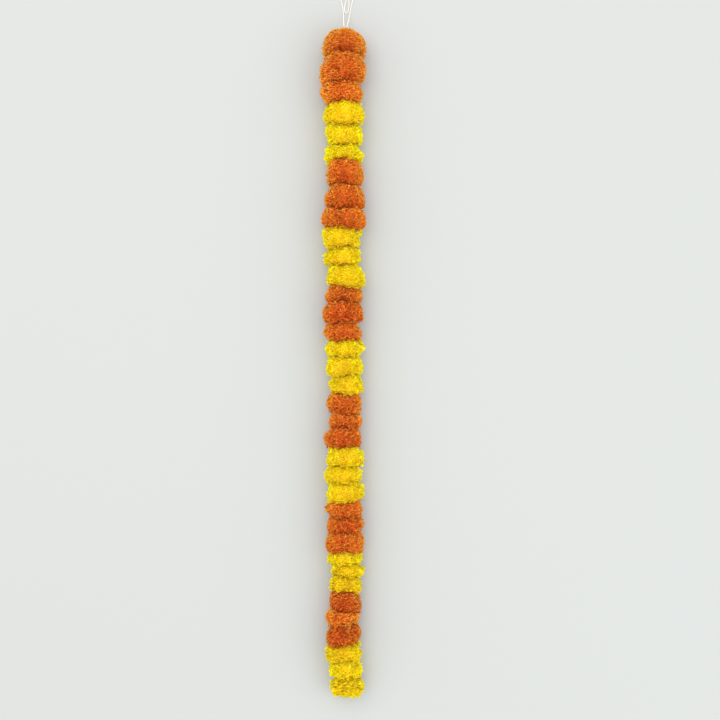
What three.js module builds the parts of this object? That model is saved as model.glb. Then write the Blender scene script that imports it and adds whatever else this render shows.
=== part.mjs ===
// Marigold garland, laid out straight on a flat surface.
//
// Thirty-six double marigold blooms, in runs of three orange and three yellow, are strung face up on a
// doubled cotton thread. The green calyx under each bloom is pressed into the face of the next one, so only
// the calyx under the last bloom shows. A stop knot holds the last bloom, and past the first one the two
// strands spread into a hanging loop that is tied with a bow knot.
//
// Millimetres, +Z up. The garland lies along Y with its hanging loop at the +Y end. The origin is on the
// surface, under the middle of the row of blooms.

import * as THREE from "three";

// ---- Driving dimensions ------------------------------------------------------------------------------------

// Runs of blooms from the hanging loop down. Each bloom has its length along the thread, its diameter, how far
// its middle sits to the right of the thread, and two angles in degrees of the seam below it: its slant, which
// is positive where the right side is lower, and its lean, which is positive where the upper side, away from
// the surface, is nearer the hanging loop.
const RUNS = [
  ["orange", [42, 66, -1, -2, 12], [41, 70, -3, -6, 8], [27, 63, -4, -2, 0]],
  ["yellow", [31, 63, -1, 0, -8], [31, 56, -1, 1, -6], [27, 59, -1, 1, 9]],
  ["orange", [34, 57, 0, 0, -1], [34, 62, 0, 1, -2], [29, 67, -1, 6, -4]],
  ["yellow", [30, 59, -3, -1, -2], [26, 57, -4, 0, -3], [33, 59, 1, 6, -2]],
  ["orange", [24, 57, -2, 1, 3], [29, 61, -3, -1, -1], [26, 57, -2, 2, -6]],
  ["yellow", [25, 56, -1, 0, -3], [30, 56, -1, -1, 0], [26, 51, 2, 1, -7]],
  ["orange", [30, 54, -2, 1, 0], [23, 51, 1, -1, 4], [28, 56, -3, 2, 3]],
  ["yellow", [29, 57, 1, 0, 4], [25, 56, -3, 2, 3], [28, 56, 0, -7, 2]],
  ["orange", [23, 55, -1, 1, 3], [22, 54, 0, -2, 0], [29, 58, 0, 0, 1]],
  ["yellow", [20, 53, 0, 2, 5], [18, 51, 2, 1, 5], [23, 49, 1, 4, 5]],
  ["orange", [29, 50, 1, 7, 4], [21, 56, -3, -4, 5], [28, 55, -1, -5, -2]],
  ["yellow", [24, 54, -1, -2, 0], [27, 52, 1, 0, 4], [27, 51, 3, 0, 0]],
];

const THREAD_X = 2.9; // the thread lies this far to the right of the box's middle
const THREAD_Z = 26; // the thread's height above the surface, inside the blooms
const THREAD = 1.4; // diameter of one strand
const STRAND_APART = 1.9; // between the middles of the two strands
const MIDDLE_RADIUS = 28; // a bloom of this radius has its middle at the thread's height
const MIDDLE_RISE = 0.6; // a larger bloom's middle is higher by this share of the extra radius

const PETALS = 10; // petals round one tier, each of three points: two at its tip, and the notch beside it
const TIER = 10; // the length along the thread that one tier of petals takes
const GROOVE = 0.8; // radius at a seam, as a share of the bloom's
const BARREL = 2.2; // how square the bloom's side is between two seams
const SHOULDER = 2.3; // how square the shoulder of a free end is
const CROWN_MIDDLE = -0.2; // where the first bloom is widest, from -1 at its lower end to 1 at its upper
const SKIRT_MIDDLE = -0.05; // the same for the last bloom
const PETAL_OUT = 1.2; // how far a petal's tip stands out of the bloom's outline
const PETAL_IN = 2.6; // how far the notch between two petals of a tier lies inside it
const VALLEY = 4.6; // how far the valley between two tiers lies inside it
const CURL = 2.2; // how far tips bend away from the bloom's middle, along the thread
const SCALLOP = 0.8; // how far a tip is ahead of the notch beside it, along the thread
const INTERLOCK = 1.9; // how far a valley bends round the petals on either side of it, along the thread
const RUFFLE = 1.1; // the most that a petal is out of line, and one corner of its tip ahead of the other
const PRESSED = 3.6; // petals nearer the surface than this are pressed flat on it
const SEAM_GAP = 0.4; // between two blooms

const SIDES = 6; // sides of the pits and holes inside a bloom
const HOLE = 2.3; // radius of the hole for the thread
const CALYX_TOP = 7.5; // radius of a hidden calyx where it leaves its bloom
const CALYX_LENGTH = 7; // how far it reaches into the next bloom
const PIT_SLACK = 0.7; // the pit that takes it is wider by this, and deeper by twice this
const CROWN_END = 82; // degrees round the shoulder at which the first bloom's crown meets its pit
const SKIRT_END = 70; // degrees at which the last bloom's skirt meets the recess of its calyx
const RECESS = 12; // depth of that recess
const RECESS_RADIUS = 8.4;

// ---- Small tools -------------------------------------------------------------------------------------------

const radians = THREE.MathUtils.degToRad;

// A repeatable stream of numbers from -1 to 1.
function noise(seed) {
  let state = seed >>> 0;
  return () => {
    state = (Math.imul(state, 1664525) + 1013904223) >>> 0;
    return state / 2 ** 31 - 1;
  };
}

// A ring of points round a centre line along Y: place gives each angle's radius and height along Y.
function ring(count, middle, place) {
  return Array.from({ length: count }, (_, k) => {
    const angle = (k / count) * 2 * Math.PI;
    const [radius, along] = place(angle, k);
    const x = middle.x + radius * Math.cos(angle);
    const z = middle.z + radius * Math.sin(angle);
    return new THREE.Vector3(x, typeof along === "function" ? along(x, z) : along, z);
  });
}

// One closed skin through rings of points, with the last ring joined to the first. Rings of different counts
// are joined by angle. Between rings of one count each square is split along its prouder diagonal, so that a
// tip keeps all its faces.
function skin(rings, middle) {
  const points = rings.flat();
  const starts = rings.map((_, i) => rings.slice(0, i).reduce((sum, r) => sum + r.length, 0));
  const proud = (i, j) => {
    const mid = points[i].clone().add(points[j]).multiplyScalar(0.5);
    return Math.hypot(mid.x - middle.x, mid.z - middle.z);
  };
  const index = [];
  rings.forEach((a, r) => {
    const next = (r + 1) % rings.length;
    const b = rings[next];
    const from = (k) => starts[r] + (k % a.length);
    const to = (k) => starts[next] + (k % b.length);
    for (let i = 0, j = 0; i < a.length || j < b.length; ) {
      if (a.length === b.length) {
        if (proud(from(i), to(j + 1)) > proud(from(i + 1), to(j)))
          index.push(from(i), to(j), to(j + 1), from(i), to(j + 1), from(i + 1));
        else index.push(from(i), to(j), from(i + 1), from(i + 1), to(j), to(j + 1));
        i += 1;
        j += 1;
      } else if (j >= b.length || (i < a.length && (i + 1) * b.length <= (j + 1) * a.length)) {
        index.push(from(i), to(j), from(i + 1));
        i += 1;
      } else {
        index.push(from(i), to(j), to(j + 1));
        j += 1;
      }
    }
  });
  const geometry = new THREE.BufferGeometry().setFromPoints(points);
  geometry.setIndex(index);
  geometry.computeVertexNormals();
  return geometry;
}

// ---- Where the blooms lie ----------------------------------------------------------------------------------

const ROW_LENGTH = RUNS.flatMap(([, ...run]) => run).reduce((sum, [length]) => sum + length, 0);
const TOP = ROW_LENGTH / 2; // the +Y end of the row of blooms

// The seam between two blooms is a plane across the thread.
function seam(y, slant, lean) {
  const sideways = Math.tan(radians(slant));
  const upwards = Math.tan(radians(lean));
  return (x, z) => y - (x - THREAD_X) * sideways + (z - THREAD_Z) * upwards;
}

function placeBlooms() {
  const blooms = [];
  let y = TOP;
  let upper = seam(y, 0, 0);
  for (const [colour, ...run] of RUNS)
    for (const [length, diameter, aside, slant, lean] of run) {
      y -= length;
      const lower = seam(y, slant, lean);
      const radius = diameter / 2;
      const height = THREAD_Z + MIDDLE_RISE * (radius - MIDDLE_RADIUS);
      const middle = { x: THREAD_X + aside, z: height };
      blooms.push({ number: blooms.length + 1, colour, length, radius, middle, lower, upper });
      upper = lower;
    }
  return blooms;
}

// ---- A bloom -----------------------------------------------------------------------------------------------

// The bloom's outline at a station from -1, its lower end, to 1, its upper end. A pressed end stops at the
// seam, and a free end goes on round its shoulder to endAngle degrees. Gives the radius as a share of the
// bloom's, the rise from -1 to 1, and the direction in which petals stand out, as [outwards, along].
function outline(station, widest, endAngle) {
  const side = Math.sign(station);
  const far = Math.abs(station);
  const reach = side - widest; // from the widest place to this end
  if (!endAngle) {
    const bulge = (1 - far ** BARREL) ** (1 / BARREL);
    return { share: GROOVE + (1 - GROOVE) * bulge, rise: widest + far * reach, out: [1, 0] };
  }
  const angle = radians(endAngle * far);
  const share = Math.cos(angle) ** (2 / SHOULDER);
  const rise = widest + reach * Math.sin(angle) ** (2 / SHOULDER);
  return { share, rise, out: [Math.cos(angle), side * Math.sin(angle)] };
}

// Stations of petal tips, with a valley between each two, for a number of tiers.
function tiers(from, to, count) {
  return Array.from({ length: 2 * count - 1 }, (_, k) => from + ((k + 1) / (2 * count)) * (to - from));
}

function bloomGeometry(bloom, first, last) {
  const { number, length, radius, middle, lower, upper } = bloom;
  const random = noise(number * 7919);
  const hole = { x: THREAD_X, z: THREAD_Z };
  const gap = SEAM_GAP / 2;
  const widest = first ? CROWN_MIDDLE : last ? SKIRT_MIDDLE : 0;
  const endAngle = (station) => (station > 0 && first ? CROWN_END : station < 0 && last ? SKIRT_END : 0);
  // Height along Y at a rise from -1 to 1 between the two seams.
  const along = (rise, extra) => (x, z) =>
    THREE.MathUtils.lerp(lower(x, z) + gap, upper(x, z) - gap, (rise + 1) / 2) + extra;

  // Points of a ring stand in threes, turned half a petal from tier to tier: two corners of a tip, 1 and -1,
  // and the notch beside it, 0.
  const corner = (k, tier) => [1, -1, 0][(k + Math.floor(1.5 * (tier + number))) % 3];
  const ringAt = (station, place) => {
    const { share, rise, out } = outline(station, widest, endAngle(station));
    return ring(3 * PETALS, middle, (_, k) => {
      const [relief, bend] = place(k, share);
      return [radius * share + relief * out[0], along(rise, relief * out[1] + bend * out[0])];
    });
  };
  // A tier's petals: each has its own length and lean, and one corner of its tip out and the other in.
  const petalRing = (station, tier) => {
    const petals = Array.from({ length: PETALS + 1 }, () => [random(), random(), random()].map((n) => n * RUFFLE));
    return ringAt(station, (k) => {
      const tip = corner(k, tier);
      const [longer, twist, lean] = petals[Math.floor((k + Math.floor(1.5 * (tier + number))) / 3) % PETALS];
      if (!tip) return [-PETAL_OUT - PETAL_IN, CURL * station - SCALLOP];
      return [longer + 0.5 * twist * tip, CURL * station + SCALLOP + 0.6 * lean + 0.7 * twist * tip];
    });
  };
  // The valley after a tier goes round its petals and those of the next tier.
  const valleyRing = (station, tier) =>
    ringAt(station, (k, share) => {
      const below = Math.abs(corner(k, tier));
      const above = Math.abs(corner(k, tier + 1));
      return [-PETAL_OUT - VALLEY * (0.4 + 0.6 * share) * (below * above ? 1 : 0.8), INTERLOCK * (below - above)];
    });
  const edgeRing = (station, depth) => ringAt(station, () => [-depth, 0]);
  const innerRing = (size, face, shift) => ring(SIDES, hole, () => [size, (x, z) => face(x, z) + shift]);

  let stations = tiers(-1, 1, Math.round(length / TIER));
  if (first) stations = [...tiers(-1, 0, 2), 0, ...tiers(0, 1, 4)];
  if (last) stations = [...tiers(-1, 0, 3), 0, ...tiers(0, 1, 2)];
  const body = stations.map((station, i) => (i % 2 ? valleyRing : petalRing)(station, Math.floor(i / 2)));

  const calyx = last
    ? [innerRing(HOLE, lower, RECESS), innerRing(RECESS_RADIUS, lower, RECESS)]
    : [innerRing(HOLE, lower, -CALYX_LENGTH), innerRing(CALYX_TOP, lower, gap)];
  const pit = first
    ? [innerRing(HOLE, upper, -CALYX_LENGTH - 2 * PIT_SLACK)]
    : [innerRing(CALYX_TOP + PIT_SLACK, upper, -gap), innerRing(HOLE, upper, -CALYX_LENGTH - 2 * PIT_SLACK)];
  const rings = [
    ...calyx,
    edgeRing(-1, last ? PETAL_OUT : VALLEY),
    ...body,
    edgeRing(1, first ? PETAL_OUT : VALLEY),
    ...pit,
  ];
  for (const point of rings.flat()) if (point.z < PRESSED) point.z = 0;
  return skin(rings, middle);
}

// ---- Thread, knots and the last calyx ----------------------------------------------------------------------

const CALYX_GAP = 0.4; // between the last calyx and the recess that it sits in
const CALYX_RIBS = 8;
const CALYX_RADIUS = 7.6;
const STEM_END = 2.6; // the cut stem ends this far inside the last bloom's skirt
const STOP_TURNS = 2;
const KNOT_TURNS = 3;
const LIE = THREAD / 2 + 0.1; // height of the thread's middle where it lies on the surface

// One strand of thread inside the blooms, straight along Y.
function strandGeometry(from, to) {
  return new THREE.CylinderGeometry(THREAD / 2, THREAD / 2, to - from, 8).translate(0, (from + to) / 2, 0);
}

// Thread laid along a smooth curve through points.
function cordGeometry(points, steps) {
  const section = new THREE.Shape().absarc(0, 0, THREAD / 2, 0, 2 * Math.PI);
  const path = new THREE.CatmullRomCurve3(points.map((p) => new THREE.Vector3(...p)));
  return new THREE.ExtrudeGeometry(section, { steps, curveSegments: 4, extrudePath: path, bevelEnabled: false });
}

// Turns of thread wound side by side round a hole, as one ring about Y.
function windingGeometry(inside, turns, segments) {
  const outside = inside + THREAD;
  const groove = inside + 0.72 * THREAD;
  const profile = [new THREE.Vector2(inside, -0.5 * turns * THREAD)];
  for (let turn = 0; turn < turns; turn += 1) {
    const at = (turn - turns / 2) * THREAD;
    profile.push(new THREE.Vector2(groove, at), new THREE.Vector2(outside, at + THREAD / 2));
  }
  profile.push(new THREE.Vector2(groove, (0.5 * turns) * THREAD));
  profile.push(new THREE.Vector2(inside, 0.5 * turns * THREAD), profile[0].clone());
  return new THREE.LatheGeometry(profile, segments);
}

// The last bloom's calyx: a ribbed cup that narrows to the cut stem, with the thread's hole through it.
function calyxGeometry(lower) {
  const axis = { x: THREAD_X, z: THREAD_Z };
  const cup = [
    // share of the calyx's radius, place along the thread from the seam, depth of the ribs
    [0.5, STEM_END, 0],
    [0.62, STEM_END + 2, 0.3],
    [0.88, STEM_END + 4.5, 0.6],
    [0.93, RECESS - 2.4, 0.5],
    [0.8, RECESS - CALYX_GAP, 0],
  ];
  const face = (shift) => (x, z) => lower(x, z) + shift;
  const wall = cup.map(([share, shift, rib]) =>
    ring(2 * CALYX_RIBS, axis, (_, k) => [share * CALYX_RADIUS - (k % 2) * rib, face(shift)]),
  );
  const bore = (shift) => ring(SIDES, axis, () => [HOLE, face(shift)]);
  return skin([bore(STEM_END), ...wall, bore(RECESS - CALYX_GAP)], axis);
}

// The hanging loop lies on the surface past the first bloom: up one strand, through the bow knot and back
// down the other. Places are [right of the thread, past the row's end, height].
const KNOT_PLACE = [3.4, 60, LIE + 1.6];
const LEFT_STRAND = [
  [-0.95, -7.8, THREAD_Z],
  [-1.1, -3, THREAD_Z],
  [-1.3, 3, THREAD_Z - 0.9],
  [-1.5, 9, THREAD_Z - 5],
  [-1.7, 14, THREAD_Z - 11.5],
  [-1.9, 19, THREAD_Z - 18.4],
  [-2.1, 25, THREAD_Z - 23.6],
  [-2.4, 32, LIE + 0.1],
  [-3.0, 38, LIE],
  [-4.0, 43.5, LIE],
  [-5.5, 48.5, LIE],
  [-6.3, 53, LIE + 0.2],
  [-5.4, 57.3, LIE + 0.9],
  [-2.8, 59.7, LIE + 1.5],
  [0.6, 60, KNOT_PLACE[2]],
];
const RIGHT_STRAND = [
  [3.4, 60, KNOT_PLACE[2]],
  [6.2, 60, KNOT_PLACE[2]],
  [9.4, 59.5, LIE + 1.5],
  [11.4, 56.8, LIE + 0.9],
  [11.8, 53, LIE + 0.2],
  [10.9, 48.5, LIE],
  [9.5, 43.5, LIE],
  [8.4, 38, LIE],
  [7.4, 32, LIE + 0.1],
  [6.4, 25, THREAD_Z - 23.6],
  [5.5, 19, THREAD_Z - 18.4],
  [4.7, 14, THREAD_Z - 11.5],
  [3.8, 9, THREAD_Z - 5],
  [2.6, 3, THREAD_Z - 0.9],
  [1.5, -3, THREAD_Z],
  [0.95, -7.8, THREAD_Z],
];
// The bow hangs from the knot, inside the loop.
const BOW = [
  [2.6, 57.1, LIE + 1],
  [2.2, 54, LIE + 0.3],
  [1.1, 49.5, LIE],
  [-0.1, 45, LIE],
  [-0.9, 40.5, LIE],
  [-0.8, 36.5, LIE],
  [0.4, 33.5, LIE],
  [2.2, 32.6, LIE],
  [4.1, 33.8, LIE],
  [5.3, 37, LIE],
  [6.0, 41.5, LIE],
  [6.2, 46, LIE],
  [5.7, 50.5, LIE],
  [4.8, 54, LIE + 0.3],
  [4.3, 57.1, LIE + 1],
];
const atTop = (points) => points.map(([right, past, height]) => [THREAD_X + right, TOP + past, height]);

// ---- The garland -------------------------------------------------------------------------------------------

const finish = (color, roughness) => new THREE.MeshStandardMaterial({ color, roughness, metalness: 0, flatShading: true });
const PETAL_FINISH = { orange: finish("#d9641c", 0.8), yellow: finish("#f0c81a", 0.8) };
const COTTON = finish("#efece2", 0.9);
const GREEN = finish("#6f8f3a", 0.7);

function named(name, geometry, material) {
  const mesh = new THREE.Mesh(geometry, material);
  mesh.name = name;
  return mesh;
}

const garland = new THREE.Group();
const blooms = placeBlooms();
blooms.forEach((bloom, i) => {
  const name = `bloom_${String(bloom.number).padStart(2, "0")}_${bloom.colour}`;
  const geometry = bloomGeometry(bloom, i === 0, i === blooms.length - 1);
  garland.add(named(name, geometry, PETAL_FINISH[bloom.colour]));
});

const lastSeam = blooms[blooms.length - 1].lower;
garland.add(named("calyx", calyxGeometry(lastSeam), GREEN));

const stopLength = STOP_TURNS * THREAD;
const stopKnot = named("stop_knot", windingGeometry(HOLE - 0.2, STOP_TURNS, 10), COTTON);
stopKnot.position.set(THREAD_X, STEM_END - TOP - 0.3 - stopLength / 2, THREAD_Z);
garland.add(stopKnot);

for (const [name, side] of [
  ["thread_left", -1],
  ["thread_right", 1],
]) {
  const strand = named(name, strandGeometry(STEM_END - TOP - 0.6 - stopLength, TOP - 8.1), COTTON);
  strand.position.set(THREAD_X + (side * STRAND_APART) / 2, 0, THREAD_Z);
  garland.add(strand);
}

garland.add(named("hanging_thread", cordGeometry(atTop([...LEFT_STRAND, ...RIGHT_STRAND]), 48), COTTON));
garland.add(named("bow_loop", cordGeometry(atTop(BOW), 20), COTTON));

const bowKnot = named("bow_knot", windingGeometry(THREAD / 2 + 0.3, KNOT_TURNS, 10), COTTON);
bowKnot.position.set(...atTop([KNOT_PLACE])[0]);
bowKnot.rotation.z = Math.PI / 2;
garland.add(bowKnot);

export default garland;
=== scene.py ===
# %% [markdown]
# # A marigold garland
# Thirty-six double marigolds are threaded face to calyx on a doubled cotton thread, three orange and three
# yellow in turn, and the garland lies straight on a pale table. The solids of the frame give every bloom
# its place and size. Here each bloom gets its real make: several hundred thin, waved petals.

# %% Load the frame
import math

import bpy
import numpy as np
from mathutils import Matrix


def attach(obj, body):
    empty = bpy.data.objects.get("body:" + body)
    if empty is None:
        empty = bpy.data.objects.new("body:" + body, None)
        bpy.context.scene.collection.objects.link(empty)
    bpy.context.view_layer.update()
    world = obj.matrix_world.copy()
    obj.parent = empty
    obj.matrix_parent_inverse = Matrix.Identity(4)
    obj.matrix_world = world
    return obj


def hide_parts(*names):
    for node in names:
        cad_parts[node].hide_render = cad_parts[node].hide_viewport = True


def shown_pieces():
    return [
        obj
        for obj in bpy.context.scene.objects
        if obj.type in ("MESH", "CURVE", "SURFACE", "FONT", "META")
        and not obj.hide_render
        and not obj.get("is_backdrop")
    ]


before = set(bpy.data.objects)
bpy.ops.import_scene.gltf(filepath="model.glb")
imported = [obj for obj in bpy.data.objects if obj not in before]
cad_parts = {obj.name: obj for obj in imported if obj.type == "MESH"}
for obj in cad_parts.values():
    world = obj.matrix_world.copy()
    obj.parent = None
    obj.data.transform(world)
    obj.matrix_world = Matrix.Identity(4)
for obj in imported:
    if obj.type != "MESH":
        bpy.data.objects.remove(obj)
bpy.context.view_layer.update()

# %% [markdown]
# ## The garland's layout
# Each bloom is described by its length along the thread, its diameter, how far its middle sits to the right
# of the thread, and two angles of the seam between it and the next bloom: its slant to the right and its
# lean. A seam is a plane across the thread, so a bloom is what lies between two seams. All sizes are in
# millimetres until a mesh is made.

# %% Layout of the blooms
MM = 0.001
BLOOMS = np.array([
    # length, diameter, aside, slant and lean of the lower seam in degrees
    [42, 66, -1, -2, 12], [41, 70, -3, -6, 8], [27, 63, -4, -2, 0],
    [31, 63, -1, 0, -8], [31, 56, -1, 1, -6], [27, 59, -1, 1, 9],
    [34, 57, 0, 0, -1], [34, 62, 0, 1, -2], [29, 67, -1, 6, -4],
    [30, 59, -3, -1, -2], [26, 57, -4, 0, -3], [33, 59, 1, 6, -2],
    [24, 57, -2, 1, 3], [29, 61, -3, -1, -1], [26, 57, -2, 2, -6],
    [25, 56, -1, 0, -3], [30, 56, -1, -1, 0], [26, 51, 2, 1, -7],
    [30, 54, -2, 1, 0], [23, 51, 1, -1, 4], [28, 56, -3, 2, 3],
    [29, 57, 1, 0, 4], [25, 56, -3, 2, 3], [28, 56, 0, -7, 2],
    [23, 55, -1, 1, 3], [22, 54, 0, -2, 0], [29, 58, 0, 0, 1],
    [20, 53, 0, 2, 5], [18, 51, 2, 1, 5], [23, 49, 1, 4, 5],
    [29, 50, 1, 7, 4], [21, 56, -3, -4, 5], [28, 55, -1, -5, -2],
    [24, 54, -1, -2, 0], [27, 52, 1, 0, 4], [27, 51, 3, 0, 0],
], float)
THREAD_X, THREAD_Z = 2.9, 26.0  # the thread runs along Y at this place
FIRST, LAST = 0, len(BLOOMS) - 1
TOP = BLOOMS[:, 0].sum() / 2
SEAM_Y = TOP - np.concatenate([[0], np.cumsum(BLOOMS[:, 0])])
SEAM_SLANT = np.tan(np.radians(np.concatenate([[0], BLOOMS[:, 3]])))
SEAM_LEAN = np.tan(np.radians(np.concatenate([[0], BLOOMS[:, 4]])))
print(len(BLOOMS), "blooms in a row", 2 * TOP, "mm long")


def seam(number, x, z):
    """Place along Y of a seam: a plane that falls to the right by its slant, and goes up the garland, away
    from the table, by its lean. Seam b lies above bloom b, and seam b + 1 below it."""
    return SEAM_Y[number] - (x - THREAD_X) * SEAM_SLANT[number] + (z - THREAD_Z) * SEAM_LEAN[number]


# %% [markdown]
# ## Uneven seams
# Two blooms pressed together don't meet in a plane: petals of one push into the other all the way round, and
# those of the upper one hang a little over the lower one. Both blooms at a seam share one wavy cone, so they
# fill the space between them and never cross.

# %% Wavy seams
OVERHANG = 5.0  # mm that the cone falls from the thread to the radius where it meets the seam's plane
LEVEL_RADIUS = 22  # mm, that radius
SEAM_WAVES = [(3, 1.4), (8, 1.2), (17, 1.1), (23, 0.7)]  # waves round the thread, and their height in mm


def fade_in(radius, start, end):
    """0 up to a start radius, 1 from an end radius on, and a straight line between them."""
    return np.clip((radius - start) / (end - start), 0, 1)


def wavy_seam(number, x, z):
    """The seam's plane, made into a flat cone that hangs down at its edge, plus four sine waves round the
    thread, which fade towards it."""
    angle, radius = np.arctan2(z - THREAD_Z, x - THREAD_X), np.hypot(x - THREAD_X, z - THREAD_Z)
    starts = np.random.default_rng(500 + number).uniform(0, 2 * np.pi, len(SEAM_WAVES))
    ripple = sum(height * np.sin(turns * angle + start) for (turns, height), start in zip(SEAM_WAVES, starts))
    hang = OVERHANG * (1 - radius / LEVEL_RADIUS) * fade_in(radius, 3, 11)
    return seam(number, x, z) + hang + ripple * fade_in(radius, 6, 20)


print("the seams' waves are up to", round(sum(height for turns, height in SEAM_WAVES), 1), "mm high")


# %% [markdown]
# ## Camera
# The garland hangs in real use, and here it lies down, so the camera looks straight down at its middle from
# 1.9 m, a little to its right. Its lens gives a narrow view in which the garland's whole length fits.

# %% Camera
camera_data = bpy.data.cameras.new("camera")
camera_data.sensor_width = 36
camera_data.lens = 63.33
CAMERA_PLACE = (0.0257, 0.0045, 1.926)  # metres
camera = bpy.data.objects.new("camera", camera_data)
camera.location = CAMERA_PLACE
bpy.context.scene.collection.objects.link(camera)
bpy.context.scene.camera = camera
print("camera 1.9 m above the thread, looking straight down")

# %% [markdown]
# ## From arrays to meshes
# Every piece below is worked out as whole arrays of points and corner numbers. One helper puts them into a
# mesh: it converts millimetres to metres, adds any values that belong to the points, such as how far along
# its petal a point lies, and joins the piece to the frame.


# %% Mesh maker
def make_piece(name, points, faces, material, stands_for, slot, smooth=True, rim=None, **values):
    """A mesh object from points in mm (n by 3) and a list of arrays of corner numbers, one array for each
    number of corners. Edges between two points of the rim are sharp, so that a thin leaf is shaded as two
    faces. The piece rides on the frame's only body and replaces the named nodes."""
    sizes = np.concatenate([np.full(len(group), group.shape[1]) for group in faces])
    corners = np.concatenate([group.ravel() for group in faces])
    mesh = bpy.data.meshes.new(name)
    mesh.vertices.add(len(points))
    mesh.vertices.foreach_set("co", (np.asarray(points) * MM).astype(np.float32).ravel())
    mesh.loops.add(len(corners))
    mesh.loops.foreach_set("vertex_index", corners.astype(np.int32))
    mesh.polygons.add(len(sizes))
    mesh.polygons.foreach_set("loop_start", np.concatenate([[0], np.cumsum(sizes)[:-1]]).astype(np.int32))
    mesh.polygons.foreach_set("use_smooth", np.full(len(sizes), smooth))
    mesh.update(calc_edges=True)
    if rim is not None:
        ends = np.empty(len(mesh.edges) * 2, np.int32)
        mesh.edges.foreach_get("vertices", ends)
        sharp = rim[ends.reshape(-1, 2)].all(1)
        mesh.attributes.new("sharp_edge", "BOOLEAN", "EDGE").data.foreach_set("value", sharp)
    for key, value in values.items():
        mesh.attributes.new(key, "FLOAT", "POINT").data.foreach_set("value", value.astype(np.float32))
    mesh.materials.append(material)
    piece = bpy.data.objects.new(name, mesh)
    bpy.context.scene.collection.objects.link(piece)
    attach(piece, "root")
    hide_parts(*stands_for)
    return piece


def grid_faces(rows, columns, closed=False):
    """Corner numbers of the squares of a grid of points, row by row, each turned anticlockwise as seen with
    columns to the right and rows upwards. closed joins the last column to the first."""
    row, column = np.meshgrid(np.arange(rows - 1), np.arange(columns - (not closed)), indexing="ij")
    right = (column + 1) % columns
    low, high = row * columns, (row + 1) * columns
    return np.stack([low + column, low + right, high + right, high + column], -1).reshape(-1, 4)


# %% [markdown]
# ## Building materials from nodes
# Colours are given as sRGB hex and turned to the linear values that Blender mixes light with. A second
# helper adds one node with its settings and its links.


# %% Material helpers
def linear(code):
    """sRGB hex to a linear colour with alpha 1."""
    srgb = np.array([int(code[i : i + 2], 16) for i in (1, 3, 5)]) / 255
    return (*np.where(srgb <= 0.04045, srgb / 12.92, ((srgb + 0.055) / 1.055) ** 2.4), 1.0)


def add_node(tree, kind, settings=None, **inputs):
    """One node. settings are its properties, and inputs its sockets by name or number: a value, or the
    output of another node."""
    node = tree.nodes.new(kind)
    for key, value in (settings or {}).items():
        setattr(node, key, value)
    for key, value in inputs.items():
        socket = node.inputs[int(key[1:])] if key[0] == "_" else node.inputs[key.replace("_", " ")]
        if isinstance(value, bpy.types.NodeSocket):
            tree.links.new(value, socket)
        else:
            socket.default_value = value
    return node


def new_material(name, **settings):
    """A material with one principled shader. settings are values for the shader's own sockets."""
    material = bpy.data.materials.new(name)
    material.use_nodes = True
    shader = material.node_tree.nodes["Principled BSDF"]
    for key, value in settings.items():
        shader.inputs[key.replace("_", " ")].default_value = value
    return material, material.node_tree, shader


def set_ramp(node, stops):
    """Colours a ramp by [(position, hex)]."""
    elements = node.color_ramp.elements
    while len(elements) < len(stops):
        elements.new(0.5)
    for element, (position, code) in zip(elements, stops):
        element.position = position
        element.color = linear(code)


# %% [markdown]
# ## Table and light
# The table is plain and pale. A large soft lamp stands at the upper left of the view and a weaker one at
# the right, so petals are brightest on their upper left and the shadow falls softly to the lower right.

# %% Table, lamps and sky
TABLE = 4  # metres from its middle to each side, so that it fills the view
table_mesh = bpy.data.meshes.new("table")
table_corners = [(-TABLE, -TABLE, 0), (TABLE, -TABLE, 0), (TABLE, TABLE, 0), (-TABLE, TABLE, 0)]
table_mesh.from_pydata(table_corners, [], [(0, 1, 2, 3)])
table_top = bpy.data.objects.new("table", table_mesh)
bpy.context.scene.collection.objects.link(table_top)
table_top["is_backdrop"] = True
painted, tree, shader = new_material("painted board", Roughness=0.75)
shader.inputs["Base Color"].default_value = linear("#b4b6b3")
table_mesh.materials.append(painted)


def add_lamp(name, place, width, watts, colour):
    """A square area lamp of a width in metres, aimed at the origin."""
    data = bpy.data.lights.new(name, "AREA")
    data.size = width
    data.energy = watts
    data.color = linear(colour)[:3]
    lamp = bpy.data.objects.new(name, data)
    x, y, z = place
    lamp.location = place
    lamp.rotation_euler = (math.atan2(math.hypot(x, y), z), 0, math.atan2(y, x) + math.pi / 2)
    bpy.context.scene.collection.objects.link(lamp)


add_lamp("key", (-0.7, 0.9, 2.9), width=2.6, watts=31, colour="#fffaf2")
add_lamp("fill", (1.8, -0.6, 2.0), width=1.6, watts=12, colour="#f3f7ff")
sky = bpy.data.worlds.new("sky")
sky.use_nodes = True
sky.node_tree.nodes["Background"].inputs["Color"].default_value = linear("#f4f6f8")
sky.node_tree.nodes["Background"].inputs["Strength"].default_value = 1.48
bpy.context.scene.world = sky
bpy.context.scene.view_settings.view_transform = "Standard"
# Light goes from petal to petal many times before it leaves a bloom.
bpy.context.scene.cycles.diffuse_bounces = 10
print("table, two lamps and a sky")

# %% [markdown]
# ## Cotton thread
# The garland hangs from the doubled thread itself. Florists use soft cotton of about 1.4 mm, twisted from two
# plies. A curve with a bevel would make a smooth wire, so the thread is a tube whose section has two lobes
# that turn round as it goes.

# %% Thread material
cotton, tree, shader = new_material("twisted cotton", Roughness=0.9, Sheen_Weight=0.3)
spot = add_node(tree, "ShaderNodeTexCoord")
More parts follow.
